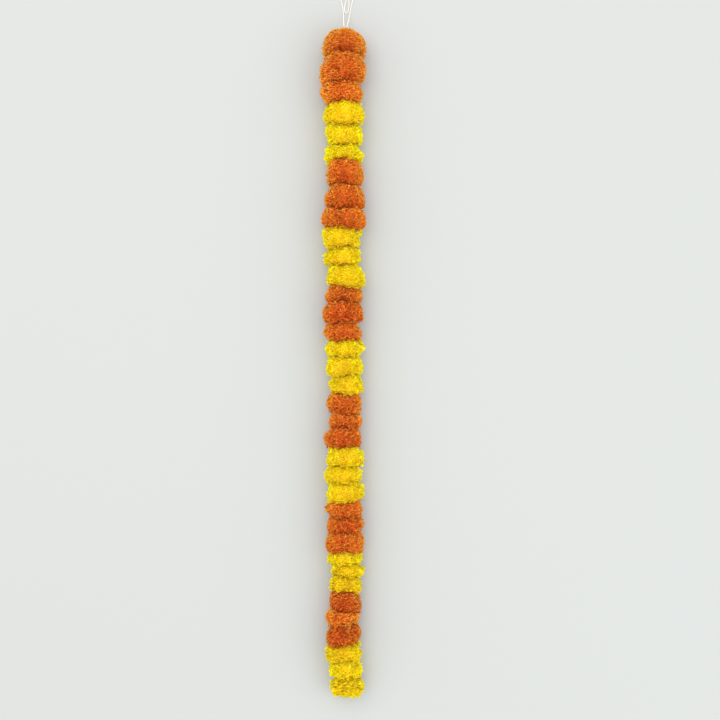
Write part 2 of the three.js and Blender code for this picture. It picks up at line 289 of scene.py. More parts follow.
# Bundles of fibres, 0.4 mm wide.
fuzz = add_node(tree, "ShaderNodeTexNoise", Vector=spot.outputs["Object"], Scale=2500.0, Detail=2.0)
shade = add_node(tree, "ShaderNodeValToRGB", Fac=fuzz.outputs["Fac"])
set_ramp(shade, [(0.3, "#cfcabd"), (0.7, "#fbf9f2")])
bump = add_node(tree, "ShaderNodeBump", Height=fuzz.outputs["Fac"], Strength=0.4, Distance=0.0002)
tree.links.new(shade.outputs["Color"], shader.inputs["Base Color"])
tree.links.new(bump.outputs["Normal"], shader.inputs["Normal"])

# %% Thread along a path
THREAD = 1.4  # mm thick
PLY_TURN = 3.2  # mm in which the plies go once round
WAIST = 0.84  # the thread's radius between its two plies, as a share of the greatest


def smooth_path(points, step):
    """Points a step apart on a smooth curve through the given ones, and its length: a cubic between each two,
    whose slope at a point is that from its neighbour before to its neighbour after, by distance. It is worked
    out at 40 places for each given point."""
    p = np.array(points, float)
    t = np.concatenate([[0], np.cumsum(np.sqrt(np.linalg.norm(np.diff(p, axis=0), axis=1)))])
    slope = np.gradient(p, t, axis=0)
    fine = np.linspace(0, t[-1], 40 * len(p))
    i = np.clip(np.searchsorted(t, fine, side="right") - 1, 0, len(p) - 2)
    h = (t[i + 1] - t[i])[:, None]
    f = ((fine - t[i]) / h[:, 0])[:, None]
    curve = (
        (2 * f**3 - 3 * f**2 + 1) * p[i] + (f**3 - 2 * f**2 + f) * h * slope[i]
        + (3 * f**2 - 2 * f**3) * p[i + 1] + (f**3 - f**2) * h * slope[i + 1]
    )
    run = np.concatenate([[0], np.cumsum(np.linalg.norm(np.diff(curve, axis=0), axis=1))])
    even = np.linspace(0, run[-1], int(run[-1] / step) + 1)
    return np.stack([np.interp(even, run, curve[:, axis]) for axis in range(3)], -1), run[-1]


def thread_tube(path, reference, sides=12):
    """Points and faces of a two-ply thread along a path: each ring's radius is greatest at two places, which
    turn round with the distance along the thread. reference is a direction that the path never takes."""
    along = np.gradient(path, axis=0)
    along /= np.linalg.norm(along, axis=1, keepdims=True)
    aside = np.cross(along, reference)
    aside /= np.linalg.norm(aside, axis=1, keepdims=True)
    over = np.cross(aside, along)
    run = np.concatenate([[0], np.cumsum(np.linalg.norm(np.diff(path, axis=0), axis=1))])[:, None]
    angle = np.arange(sides)[None, :] / sides * 2 * np.pi
    ply = np.abs(np.cos(angle - 2 * np.pi * run / PLY_TURN))
    radius = (THREAD / 2 * (WAIST + (1 - WAIST) * ply))[..., None]
    outwards = np.cos(angle)[..., None] * over[:, None] + np.sin(angle)[..., None] * aside[:, None]
    rings = path[:, None, :] + radius * outwards
    ends = [np.arange(sides)[None, ::-1], (len(path) - 1) * sides + np.arange(sides)[None, :]]
    return rings.reshape(-1, 3), [grid_faces(len(path), sides, closed=True), *ends]


# %% [markdown]
# ## Hanging loop, bow and knots
# Past the first bloom the two strands spread, sink to the table and meet in a small bow knot. The knot
# leaves one bow hanging inside the loop. The strands leave the bloom straight, as a thread under slight
# tension does, and every bend is wider than two thicknesses of thread.

# %% Hanging loop and bow
LIE = THREAD / 2 + 0.1  # mm above the table at which the middle of a lying thread is
KNOT = (3.4, 60, LIE + 1.6)
# Places in mm to the right of the thread in the blooms, past the first bloom and above the table.
LEFT_STRAND = [
    (-0.95, -7.8, 26), (-1.1, -3, 26), (-1.3, 3, 25.1), (-1.5, 9, 21), (-1.7, 14, 14.5), (-1.9, 19, 7.6),
    (-2.1, 25, 2.4), (-2.4, 32, LIE + 0.1), (-3.0, 38, LIE), (-4.0, 43.5, LIE), (-5.5, 48.5, LIE),
    (-6.3, 53, LIE + 0.2), (-5.4, 57.3, LIE + 0.9), (-2.8, 59.7, LIE + 1.5), (0.6, 60, KNOT[2]),
]
RIGHT_STRAND = [
    (3.4, 60, KNOT[2]), (6.2, 60, KNOT[2]), (9.4, 59.5, LIE + 1.5), (11.4, 56.8, LIE + 0.9),
    (11.8, 53, LIE + 0.2), (10.9, 48.5, LIE), (9.5, 43.5, LIE), (8.4, 38, LIE), (7.4, 32, LIE + 0.1),
    (6.4, 25, 2.4), (5.5, 19, 7.6), (4.7, 14, 14.5), (3.8, 9, 21), (2.6, 3, 25.1), (1.5, -3, 26),
    (0.95, -7.8, 26),
]
BOW = [
    (2.6, 57.1, LIE + 1), (2.2, 54, LIE + 0.3), (1.1, 49.5, LIE), (-0.1, 45, LIE), (-0.9, 40.5, LIE),
    (-0.8, 36.5, LIE), (0.4, 33.5, LIE), (2.2, 32.6, LIE), (4.1, 33.8, LIE), (5.3, 37, LIE), (6.0, 41.5, LIE),
    (6.2, 46, LIE), (5.7, 50.5, LIE), (4.8, 54, LIE + 0.3), (4.3, 57.1, LIE + 1),
]


def lay_thread(name, route, node):
    """A piece of thread along a route past the first bloom, with a ring of points every 0.45 mm."""
    path, length = smooth_path(np.array(route) + [THREAD_X, TOP, 0], 0.45)
    points, faces = thread_tube(path, (0, 0, 1))
    piece = make_piece(name, points, faces, cotton, [node], "cotton_thread")
    print(name, round(length, 1), "mm")
    return piece, path, length


loop_piece, loop_path, loop_length = lay_thread("hanging_loop", LEFT_STRAND + RIGHT_STRAND, "hanging_thread")
bow_piece, bow_path, bow_length = lay_thread("bow", BOW, "bow_loop")

# %% Knots
TURN_POINTS = 30  # points of a winding's path in one turn
WINDING_START = 0.6  # radians
TUCK, TUCK_TURN = 0.25, 0.12  # mm that each end of a winding dips inwards, and the part of a turn it takes
WOBBLE, WOBBLES = 0.12, 2.3  # mm that a winding strays from a true circle, and how often in a turn


def wound_knot(name, middle, axis, coil_radius, turns, node):
    """Thread wound side by side round an axis: a helix whose turns all fit in as many thread thicknesses, and
    whose ends dip inwards."""
    turn = np.linspace(0, turns, int(turns * TURN_POINTS) + 1)
    angle = 2 * np.pi * turn + WINDING_START
    tuck = np.clip(np.minimum(turn, turns - turn) / TUCK_TURN, 0, 1)
    radius = coil_radius - TUCK * (1 - tuck) + WOBBLE * np.sin(WOBBLES * angle)
    path = np.zeros((len(turn), 3))
    first, second = [i for i in range(3) if i != axis]
    path[:, axis] = (turn - turns / 2) * THREAD * (turns - 1) / turns
    path[:, first] = radius * np.cos(angle)
    path[:, second] = radius * np.sin(angle)
    reference = np.eye(3)[axis]
    points, faces = thread_tube(path + middle, reference)
    return make_piece(name, points, faces, cotton, [node], "cotton_thread")


STEM_END = 2.6  # mm from the last seam up to the cut stem, inside the last bloom
STOP_GAP = 0.3  # mm from the cut stem to the stop knot
bow_place = (THREAD_X + KNOT[0], TOP + KNOT[1], KNOT[2])
stop_place = (THREAD_X, STEM_END - TOP - STOP_GAP - THREAD, THREAD_Z)
knot_piece = wound_knot("bow_knot_winding", bow_place, axis=0, coil_radius=1.65, turns=3, node="bow_knot")
wound_knot("stop_knot_winding", stop_place, axis=1, coil_radius=2.75, turns=2, node="stop_knot")
for node in ("thread_left", "thread_right"):
    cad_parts[node].data.materials.clear()
    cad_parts[node].data.materials.append(cotton)

print("loop, bow and two knots")

# %% [markdown]
# ## Petal materials
# A fresh marigold petal is thin, soft and full of water. Light enters it, spreads a millimetre inside and
# comes out again, so the shade between petals is never hard. That is subsurface scattering, with the same
# reach for red, green and blue, so that thin tips keep their colour. The surface is velvety, and ridged
# along the petal, with painted shade in the ridges' valleys. The foot has a colour of its own. Each petal
# differs a little, and some blooms are lighter than others. Painted light and shade are added to that:
# petals are lighter on clumps and lobes and towards a bloom's upper end, and deeper in hollows and
# towards its lower end. Painting this on every petal would need a texture, so three values on the points
# carry it instead: along, from 0 at the foot to 1 at the tip, across, from -1 to 1 between its sides, and
# tone, from 0 for the deepest petals to 1 for the lightest, which holds painted light and shade as well as
# each petal's own colour.


# %% Petal material
RIDGE_TURN = 34.0  # radians of a sine wave from the middle of a petal to its side: eleven ridges in all
FOOT_TOP, TIP_BASE = 0.3, 0.85  # values of along between which the foot's colour blends into the petal's


def petal_material(name, deep, light, foot, soft=0.7, depth=0.001):
    """Mixes a deep and a light colour by tone, which holds painted light and shade as well as each petal's
    own colour, blends to the foot's colour at the foot, and draws the fine ridges, with painted shade in
    their valleys. soft is the share of light that goes in, and depth is how many metres it spreads."""
    material, tree, shader = new_material(
        name, Roughness=0.6, Specular_IOR_Level=0.25, Sheen_Weight=0.05, Sheen_Roughness=0.6,
        Subsurface_Weight=soft, Subsurface_Radius=(1.0, 1.0, 1.0), Subsurface_Scale=depth,
    )
    along = add_node(tree, "ShaderNodeAttribute", {"attribute_name": "along"}).outputs["Fac"]
    across = add_node(tree, "ShaderNodeAttribute", {"attribute_name": "across"}).outputs["Fac"]
    tone = add_node(tree, "ShaderNodeAttribute", {"attribute_name": "tone"}).outputs["Fac"]
    spot = add_node(tree, "ShaderNodeTexCoord").outputs["Object"]
    # Patches of 6 mm, within and between petals.
    patch = add_node(tree, "ShaderNodeTexNoise", Vector=spot, Scale=160.0, Detail=3.0, Roughness=0.6)
    scale_and_add, add = {"operation": "MULTIPLY_ADD"}, {"operation": "ADD", "use_clamp": True}
    patch_shift = add_node(tree, "ShaderNodeMath", scale_and_add, _0=patch.outputs["Fac"], _1=0.6, _2=-0.3)
    mixed_tone = add_node(tree, "ShaderNodeMath", add, _0=tone, _1=patch_shift.outputs[0])
    body = add_node(tree, "ShaderNodeValToRGB", Fac=mixed_tone.outputs[0])
    set_ramp(body, [(0.0, deep), (1.0, light)])
    # Ridges run the length of the petal. Their valleys get painted shade: a tenth darker than their tops.
    ridge_phase = add_node(tree, "ShaderNodeMath", {"operation": "MULTIPLY"}, _0=across, _1=RIDGE_TURN)
    ridge = add_node(tree, "ShaderNodeMath", {"operation": "SINE"}, _0=ridge_phase.outputs[0])
    ridge_painted_shade = add_node(tree, "ShaderNodeMath", scale_and_add, _0=ridge.outputs[0], _1=0.05, _2=0.95)
    lined = add_node(tree, "ShaderNodeMix", {"data_type": "RGBA", "blend_type": "MULTIPLY"}, _0=1.0)
    tree.links.new(body.outputs["Color"], lined.inputs[6])
    tree.links.new(ridge_painted_shade.outputs[0], lined.inputs[7])
    height = add_node(tree, "ShaderNodeMapRange", Value=along, From_Min=FOOT_TOP, From_Max=TIP_BASE)
    footed = add_node(tree, "ShaderNodeMix", {"data_type": "RGBA"}, _0=height.outputs["Result"])
    footed.inputs[6].default_value = linear(foot)
    tree.links.new(lined.outputs[2], footed.inputs[7])
    tree.links.new(footed.outputs[2], shader.inputs["Base Color"])
    bump = add_node(tree, "ShaderNodeBump", Height=ridge.outputs[0], Strength=0.25, Distance=0.0003)
    tree.links.new(bump.outputs["Normal"], shader.inputs["Normal"])
    return material


PETALS = {
    "orange": petal_material("orange marigold petal", deep="#de5806", light="#fc9c1c", foot="#ec6e08"),
    "yellow": petal_material(
        "yellow marigold petal", deep="#f4d000", light="#fff600", foot="#f8de00", soft=0.9
    ),
}
print("petal materials:", ", ".join(PETALS))

# %% [markdown]
# ## A bloom's outline
# A double marigold is a ball of petals. In the garland each ball is pressed between its neighbours, so it
# is a barrel with bulging sides that narrows to the seams. Only the first bloom keeps its round crown and
# the last one its round underside. The outline gives, for a station from -1 at the lower end to 1 at the
# upper end, where the petal tips stand and which way they point.

# %% Outline
GROOVE = 0.76  # radius at a seam, as a share of the bloom's
BARREL, SHOULDER = 2.2, 2.3  # powers of the squared circles of a pressed and a free end: 2 would be a circle
LEAN = math.radians(35)  # how far petals at the edge of a pressed end lean from straight out
INWARD = 0.3  # stations past 1 that go over a pressed end towards the thread
TURN_IN, TIP_OVER = 1.2, 3.0  # share of the radius lost, and radians of lean gained, in a station past 1
FACE_END, UNDERSIDE_END = 84, 76  # degrees that petals go round a free face or underside, of the full 90
WIDEST = {FIRST: -0.2, LAST: -0.05}  # where the blooms with a free end are widest, from -1 to 1 between seams


def outline(bloom, station):
    """Radius as a share of the bloom's, rise from -1 to 1 between its seams, and the lean of the petals. A
    pressed end follows a squared circle down to the groove and then turns in between the two blooms. A free
    one goes round a shoulder."""
    far = np.abs(station)
    side, inward = np.minimum(far, 1), np.maximum(far - 1, 0)
    free = np.where(station > 0, bloom == FIRST, bloom == LAST)
    widest = WIDEST.get(bloom, 0.0)
    angle = np.radians(np.where(station > 0, FACE_END, UNDERSIDE_END)) * side
    pressed_share = GROOVE + (1 - GROOVE) * (1 - side**BARREL) ** (1 / BARREL) - TURN_IN * inward
    share = np.where(free, np.cos(angle) ** (2 / SHOULDER), pressed_share)
    reach = np.where(station > 0, 1 - widest, 1 + widest)
    rise = widest + np.sign(station) * reach * np.where(free, np.sin(angle) ** (2 / SHOULDER), side)
    return share, rise, np.sign(station) * np.where(free, angle, LEAN * side + TIP_OVER * inward)


USUAL_RADIUS = 28  # mm
LIFT = 0.6  # share of the radius beyond the usual one by which a large bloom's middle lies above the thread


def middle(bloom):
    """Where a bloom's middle is across the garland, as x and z. Large blooms lie on the table too, so their
    middle is higher, and small ones' lower."""
    diameter, aside = BLOOMS[bloom, 1:3]
    return THREAD_X + aside, THREAD_Z + LIFT * (diameter / 2 - USUAL_RADIUS)


def stand(bloom, station, angle):
    """Places on the outline, with two directions at right angles: out of the bloom, and up along its side
    towards its face."""
    share, rise, lean = outline(bloom, station)
    radius = BLOOMS[bloom, 1] / 2
    middle_x, middle_z = middle(bloom)
    outwards = np.stack([np.cos(angle), np.zeros_like(angle), np.sin(angle)], -1)
    x = middle_x + radius * share * outwards[:, 0]
    z = middle_z + radius * share * outwards[:, 2]
    lower = (wavy_seam if bloom != LAST else seam)(bloom + 1, x, z)
    upper = (wavy_seam if bloom != FIRST else seam)(bloom, x, z)
    y = lower + (rise + 1) / 2 * (upper - lower)
    along_y = np.array([0, 1.0, 0])
    out = np.cos(lean)[:, None] * outwards + np.sin(lean)[:, None] * along_y
    up = np.cos(lean)[:, None] * along_y - np.sin(lean)[:, None] * outwards
    return np.stack([x, y, z], -1), out, up


# %% [markdown]
# ## Clumps of petals
# Petals don't end on a smooth barrel. They crowd into soft clumps a centimetre or so wide, with hollows
# between. Sculpting them on 36 blooms would take days, and a noise function gives lumps with no direction. A
# few sine waves that run round and along the bloom, different ones for each bloom, give rows of clumps.

# %% Clumps
# Waves round a bloom, and the most that there can be between its seams.
CLUMP_WAVES = [(3, 0.5), (5, 1), (7, 2), (9, 1), (11, 2), (14, 3)]


def clumps(bloom, station, angle):
    """How far clumps of petals stand out or lie back, from -1 to 1: the mean of six sine waves that run round
    and along the bloom."""
    random = np.random.default_rng(2000 + bloom)
    total = 0
    for turns, along in CLUMP_WAVES:
        slope = random.uniform(-1, 1) * along * np.pi
        total = total + np.sin(turns * angle + slope * station + random.uniform(0, 2 * np.pi))
    return total / len(CLUMP_WAVES)


print("clumps from", len(CLUMP_WAVES), "waves a bloom")


# %% [markdown]
# ## Uneven sides
# Threaded flowers are pressed together by hand, so a bloom's upper shoulders are squeezed in a little, and
# now and then one side bulges or is dented. The squeeze is one number for all blooms. The bulges and dents
# that catch the eye are a short list, and the clumps do the rest.

# %% Uneven sides
SQUEEZE = 1.3  # mm that the upper shoulders are squeezed in
SQUEEZED = 0.66  # station from which the squeeze is full
DENT = 8  # mm, the size of a bulge or dent along the side
LEFT, RIGHT = -1, 1
SIDES = {
    # bloom: [(side, station, millimetres out)]
    0: [(RIGHT, -0.7, 3)],
    1: [(LEFT, 0.7, -4), (RIGHT, 0.7, -3)],
    2: [(LEFT, 0.7, 6), (LEFT, -0.4, -6), (RIGHT, 0.6, -3)],
    3: [(RIGHT, 0.7, -3)],
    4: [(LEFT, 0.5, 3)],
    5: [(RIGHT, 0.7, -4)],
    7: [(LEFT, 0.7, -4), (RIGHT, 0.7, -4)],
    9: [(LEFT, 0.6, 4), (RIGHT, 0.8, 5), (RIGHT, 0, -6)],
    10: [(LEFT, 0.8, -4)],
    11: [(RIGHT, 0.7, -4)],
    12: [(LEFT, 0.7, -4)],
    14: [(RIGHT, 0.7, -4)],
    15: [(RIGHT, 0.7, 4)],
    18: [(LEFT, -0.7, -4)],
    23: [(RIGHT, 0.8, 4)],
    24: [(LEFT, 0.8, 5), (LEFT, -0.5, -5)],
    25: [(RIGHT, 0.7, 5)],
    28: [(LEFT, -0.2, -4), (RIGHT, 0.7, 6)],
    31: [(LEFT, -0.5, -5), (RIGHT, -0.4, -5)],
    32: [(RIGHT, -0.8, -4)],
    33: [(LEFT, 0.7, 3)],
    34: [(LEFT, -0.8, -5)],
    35: [(RIGHT, 0.7, 3), (RIGHT, -0.7, 3)],
}


def side_bulge(bloom, station, angle):
    """Millimetres that the sides stand out: the squeeze, plus a bell curve along the side for each bulge or
    dent, times the squared cosine of the angle, which is one at the sides and nothing at the top."""
    total = -SQUEEZE * np.clip(station / SQUEEZED, 0, 1)
    for side, at, reach in SIDES.get(bloom, []):
        along = (station - at) * BLOOMS[bloom, 0] / 2
        total += reach * np.exp(-((along / DENT) ** 2)) * (side * np.cos(angle) > 0)
    return total * np.cos(angle) ** 2


print(sum(len(spots) for spots in SIDES.values()), "bulges and dents on", len(SIDES), "blooms")

# %% [markdown]
# ## Large lobes and hollows
# Here and there a whole bunch of petals stands out past its neighbours, or the flower is split by a deep fold
# that lies in the shade. The second bloom is the most broken up. Each such place is one soft round bump or
# hollow, given by where it is, how far it goes and how wide it is.

# %% Lobes
LOBES = {
    # bloom: [(degrees round the thread from the right-hand side, station, millimetres out, size in mm)]
    0: [(118, -0.85, -5, 8), (95, -0.85, -5, 8), (70, -0.85, -5, 8), (130, 0.1, 1.5, 10)],
    1: [
        (92, 0.6, 4, 11), (122, -0.05, -6, 6), (103, -0.2, -6, 6), (150, -0.42, -5, 4), (80, -0.75, -5, 6),
        (158, 0.1, 3.5, 8), (158, -0.82, 4, 7), (125, -0.6, 3, 6), (15, 0.15, 1.5, 7), (12, -0.7, 1.5, 6),
        (60, -0.8, -6, 7), (40, -0.85, -6, 7),
    ],
    3: [(2, 0.7, 4, 3), (110, -0.9, -2, 5), (60, -0.9, -3, 5)],
    5: [(0, -0.1, 4, 3.5), (60, -0.8, -2, 6)],
    6: [(110, -0.7, -3, 6), (80, -0.6, -3, 7), (55, -0.3, -2, 6)],
    8: [(62, -0.5, -3, 5), (90, 0.2, -1, 8)],
    10: [(178, 0.15, 4, 3.5)],
    12: [(95, -0.85, -3, 5)],
    13: [(115, -0.3, -2.5, 6), (75, -0.4, -2.5, 6)],
    14: [(55, 0.6, -3, 6)],
    18: [(118, -0.8, -2.5, 5)],
    25: [(70, 0.8, -3, 6), (100, -0.1, -2.5, 7), (70, -0.3, -2, 6)],
    26: [(95, 0.6, -2.5, 7)],
    30: [(95, -0.4, -3, 8)],
    32: [(100, 0.3, -3, 8), (75, 0.3, -2, 7)],
}


def lobes(bloom, station, angle):
    """Millimetres that large bunches of petals stand out, or lie back in a hollow: a round bell curve for
    each, by the distance from its middle along the bloom's surface."""
    length, diameter = BLOOMS[bloom, :2]
    total = 0 * station
    for turn, at, reach, size in LOBES.get(bloom, []):
        around = (angle - math.radians(turn) + np.pi) % (2 * np.pi) - np.pi
        distance_squared = (around * diameter / 2) ** 2 + ((station - at) * length / 2) ** 2
        total += reach * np.exp(-distance_squared / size**2)
    return total


print(sum(len(spots) for spots in LOBES.values()), "large lobes and hollows on", len(LOBES), "blooms")


# %% [markdown]
# ## Where petals stand
# Petals grow from the flower head in a spiral, each turned 137.5 degrees from the last, which fills the
# surface evenly with no rows. The stations are chosen so that each petal tip has the same area to itself.

# %% Petal places
TIP_AREA = 13.5  # square mm for each petal tip
HIDDEN = 0.7  # share of petals that grow where they are turned in between two blooms
GOLDEN = math.radians(137.508)
STRAY, STRAY_TURN = 0.5, 0.02  # how far petals stray from their places: mm along the bloom, radians round it


def petal_places(bloom, random, area):
    """Stations and angles of the petals: equal steps of area along the outline, and golden-angle steps round
    it."""
    low = -1 if bloom == LAST else -1 - INWARD
    high = 1 if bloom == FIRST else 1 + INWARD
    grid = np.linspace(low, high, 401)
    share, rise, _ = outline(bloom, grid)
    length, diameter = BLOOMS[bloom, :2]
    r, y = diameter / 2 * share, rise * length / 2
    step = np.hypot(np.diff(r), np.diff(y)) * (r[1:] + r[:-1]) / 2
    step *= np.where(np.abs(grid[1:]) > 1, HIDDEN, 1)
    covered = np.concatenate([[0], np.cumsum(step)]) * 2 * np.pi
    count = int(covered[-1] / area)
    order = np.arange(count)
    station = np.interp((order + 0.5) / count * covered[-1], covered, grid)
    angle = order * GOLDEN + bloom
    station += random.normal(0, STRAY, count) * 2 / length
    return np.clip(station, low, high), angle + random.normal(0, STRAY_TURN, count)


print("petal tips stand about", round(math.sqrt(TIP_AREA), 1), "mm apart")


# %% [markdown]
# ## One petal
# A petal is a narrow strap that widens to a cupped, waved and slightly notched tip, which bends back towards
# the calyx. Its two faces are grids of points that share their rim, so it is a closed leaf, 0.3 mm thick. Its
# hidden foot is left out. All petals of a bloom are computed at once: every array below has one row for
# each petal, then the rows along a petal and the columns across it.

# %% Petal grid
ROWS, COLUMNS = 3, 7
ALONG = np.array([0.25, 0.76, 1.0])  # each row's place along the petal, from its foot at 0 to its tip at 1
ACROSS = np.linspace(-1, 1, COLUMNS)
WIDTH_SHARE = np.array([0.35, 1.0, 0.76])  # each row's width as a share of the greatest
THICK = 0.3  # mm


def petal_faces():
    """Faces of one closed petal: the upper grid, then the lower grid turned over, which shares the rim's
    points and has its own inside it."""
    upper = grid_faces(ROWS, COLUMNS)
    inner = np.zeros((ROWS, COLUMNS), bool)
    inner[1:-1, 1:-1] = True
    number = np.arange(ROWS * COLUMNS)
    number[inner.ravel()] = ROWS * COLUMNS + np.arange(inner.sum())
    return np.concatenate([upper, number[upper][:, ::-1]]), inner


PETAL_FACES, INNER = petal_faces()
print("a petal has", len(PETAL_FACES), "four-sided faces")

# %% Middle line of a petal
FOOT_ANGLE = -0.35  # radians: at its foot a petal heads out and a little towards the bloom's face
LINE_STEPS = 24


def middle_line(length, tip_angle, bend_power, s):
    """Places along each petal's middle line, as distances out and up from its tip, and its heading there. The
    heading is foot + (tip - foot) * s ** power, and the line is its sum, worked out in short steps."""
    fine = np.linspace(0, 1, LINE_STEPS + 1)
    heading = FOOT_ANGLE + (tip_angle - FOOT_ANGLE) * fine**bend_power
    between = (heading[:, 1:] + heading[:, :-1]) / 2
    none = np.zeros((len(length), 1))
    out = np.concatenate([none, np.cumsum(np.cos(between), 1)], 1) * length / LINE_STEPS
    up = np.concatenate([none, np.cumsum(-np.sin(between), 1)], 1) * length / LINE_STEPS
    place = (s * LINE_STEPS).reshape(len(length), -1)
    low = np.clip(place.astype(int), 0, LINE_STEPS - 1)
    part = place - low

    def read(table):
        """Values of a table at the places between its steps."""
        values = np.take_along_axis(table, low, 1) * (1 - part) + np.take_along_axis(table, low + 1, 1) * part
        return values.reshape(s.shape)

    return read(out - out[:, -1:]), read(up - up[:, -1:]), read(heading)


# %% Petal shape
LENGTHS, WIDTHS = (0.9, 1.1), (0.85, 1.15)  # between these shares of the style's size
WAVE_HEIGHTS, WAVE_COUNTS = (0.6, 1.25), (1.0, 2.0)  # shares of the style's wave, and waves across a petal
CORNER, CORNER_POWER = 0.28, 2.2  # share of the length that a petal is shorter at its sides, and how suddenly
NOTCH, NOTCH_WAVES = 0.04, 1.5  # share of the length that notches go in, and how many half a width has
TIP_POWER = 1.6  # how suddenly cup and wave grow towards the tip
CUP_LEVEL = 0.35  # share of a cup's depth that lies below the petal's middle line
CRINKLE, RAGGED = 0.08, 0.06  # mm that points stray off the petal's face, and sideways


def grow_petals(tip, out, up, size, style, random):
    """Points of closed petals with their tips at the given places.
    The middle line starts outwards and turns back towards the calyx by an angle that grows with the distance
    along it. Across it, the petal bends into a cup and waves up and down, both more towards the tip."""
    count = len(tip)

    def pick(low, high):
        """One even random value for each petal."""
        return random.uniform(low, high, (count, 1, 1))

    roll = random.normal(0, style["roll"], (count, 1))
    up = np.cos(roll) * up + np.sin(roll) * np.cross(out, up)
    across = np.cross(out, up)
    out, up, across = (v[:, None, None, :] for v in (out, up, across))

    v = ACROSS[None, None, :]
    length = size["length"][:, None] * pick(*LENGTHS)[..., 0]
    width = size["width"][:, None, None] * pick(*WIDTHS)
    # The rim's rounded corners and shallow notches shorten the petal towards its sides.
    notch = 0.5 + 0.5 * np.cos(2 * np.pi * NOTCH_WAVES * v + pick(-1, 1))
    s = ALONG[None, :, None] * (1 - CORNER * np.abs(v) ** CORNER_POWER - NOTCH * notch)
    tip_angle = pick(*style["curl"])[..., 0] + size["turn"][:, None]
    along_out, along_up, heading = middle_line(length, tip_angle, style["bend"], s)
    # Cup and wave stand off the petal's face.
    near_tip = s**TIP_POWER
    cup = size["width"][:, None, None] * pick(*style["cup"]) * (v**2 - CUP_LEVEL)
    wave = style["wave"] * pick(*WAVE_HEIGHTS)
    wave = wave * np.sin(np.pi * pick(*WAVE_COUNTS) * v + pick(0, 2 * np.pi))
    off = near_tip * (cup + wave) + random.normal(0, CRINKLE, (count, ROWS, COLUMNS)) * near_tip
    side = v * width / 2 * WIDTH_SHARE[None, :, None]
    side = side + random.normal(0, RAGGED, (count, ROWS, COLUMNS)) * near_tip

    def place(thickness):
        """Points of one face, moved off the petal's middle by a thickness."""
        rise = off + thickness
        o = along_out + rise * np.sin(heading)
        u = along_up + rise * np.cos(heading)
        return tip[:, None, None, :] + o[..., None] * out + u[..., None] * up + side[..., None] * across

    half = THICK / 2 * INNER[None]
    upper, lower = place(half), place(-half)
    return np.concatenate([upper.reshape(count, -1, 3), lower[:, INNER]], 1)


# %% [markdown]
# ## Pressing petals against each other and the table
# Neighbouring blooms are pressed together, and the garland's weight presses its lowest petals flat. A point
# near a seam or the table is drawn in softly, so that it comes close but never goes through.

# %% Pressing
PRESS = 2.5  # the last millimetres before a limit, in which points are drawn in
SEAM_GAP, TABLE_GAP = 0.1, 0.05  # mm that stay free on each side of a seam, and above the table


def squeeze(value, limit):
    """Values above limit - PRESS are drawn in below the limit: the overshoot shrinks as an exponential."""
    over = np.maximum(value - (limit - PRESS), 0)
    return value - over + PRESS * (1 - np.exp(-over / PRESS))


def press(bloom, points):
    """Draws a bloom's points in at both seams, unless that end is free, and at the table."""
    x, y, z = points.reshape(-1, 3).T
    if bloom != FIRST:
        y = squeeze(y, wavy_seam(bloom, x, z) - SEAM_GAP)
    if bloom != LAST:
        y = -squeeze(-y, -(wavy_seam(bloom + 1, x, z) + SEAM_GAP))
    z = -squeeze(-z, -TABLE_GAP)
    return np.stack([x, y, z], -1)


# %% [markdown]
# ## The core
# A real bloom is full of petals down to the flower head. Only their outer ends are made here, and light
# must not pass between them through the bloom, so a plain closed barrel in the petals' own colour fills
# its inside.

# %% Core
CORE_ROWS, CORE_SIDES = 8, 28
CORE_END = 0.985  # station of the core's closed ends
CORE_DEPTH, END_DEPTH = 7.5, 2  # mm under the petal tips halfway along a bloom, and more at its ends
CORE_CLUMP = 3  # mm that the core goes in under the deepest hollow between clumps
CORE_LEAST = 2  # mm, the core's smallest radius
SET_BACK = 14  # mm that the core is set back behind a free face, where the petals are longer
SET_BACK_LEAN = 0.5, 0.9  # it grows to that between these shares of a petal's direction along the garland


def bloom_core(bloom):
    """A closed barrel under the petal tips: each of its points goes from the outline towards the middle by
    the core's depth, plus the end depth times the station to the fourth, and further in a hollow. Its ends
    are closed, and those behind a free face are set back."""
    station = np.repeat(np.linspace(-CORE_END, CORE_END, CORE_ROWS), CORE_SIDES)
    angle = np.tile(np.arange(CORE_SIDES) / CORE_SIDES * 2 * np.pi, CORE_ROWS)
    place, out, _ = stand(bloom, station, angle)
    middle_x, middle_z = middle(bloom)
    spoke = (place - [middle_x, 0, middle_z]) * [1, 0, 1]
    reach = np.linalg.norm(spoke, axis=1, keepdims=True)
    hollow = lobes(bloom, station, angle) + side_bulge(bloom, station, angle)
    hollow += CORE_CLUMP * clumps(bloom, station, angle)
    depth = (CORE_DEPTH + END_DEPTH * station**4 - np.minimum(hollow, 0))[:, None]
    points = place - spoke / reach * np.minimum(depth, reach - CORE_LEAST)
    if bloom in (FIRST, LAST):
        points -= SET_BACK * out * [0, 1, 0] * fade_in(np.abs(out[:, 1:2]), *SET_BACK_LEAN)
    ends = [np.arange(CORE_SIDES)[None, :], (CORE_ROWS - 1) * CORE_SIDES + np.arange(CORE_SIDES)[None, ::-1]]
    return points, [grid_faces(CORE_ROWS, CORE_SIDES, closed=True)[:, ::-1], *ends]


# %% [markdown]
# ## The blooms
# No two blooms of the garland are alike. Most orange ones have strongly waved petals that are turned every
# way. The yellow ones have broader, flatter petals in deeper clumps. The second bloom has long narrow petals
# that spread like rays, and three others have narrow petals that lie like a fan. The last bloom's petals are
# longer, to cover its free underside. Petals are smaller towards the thread.

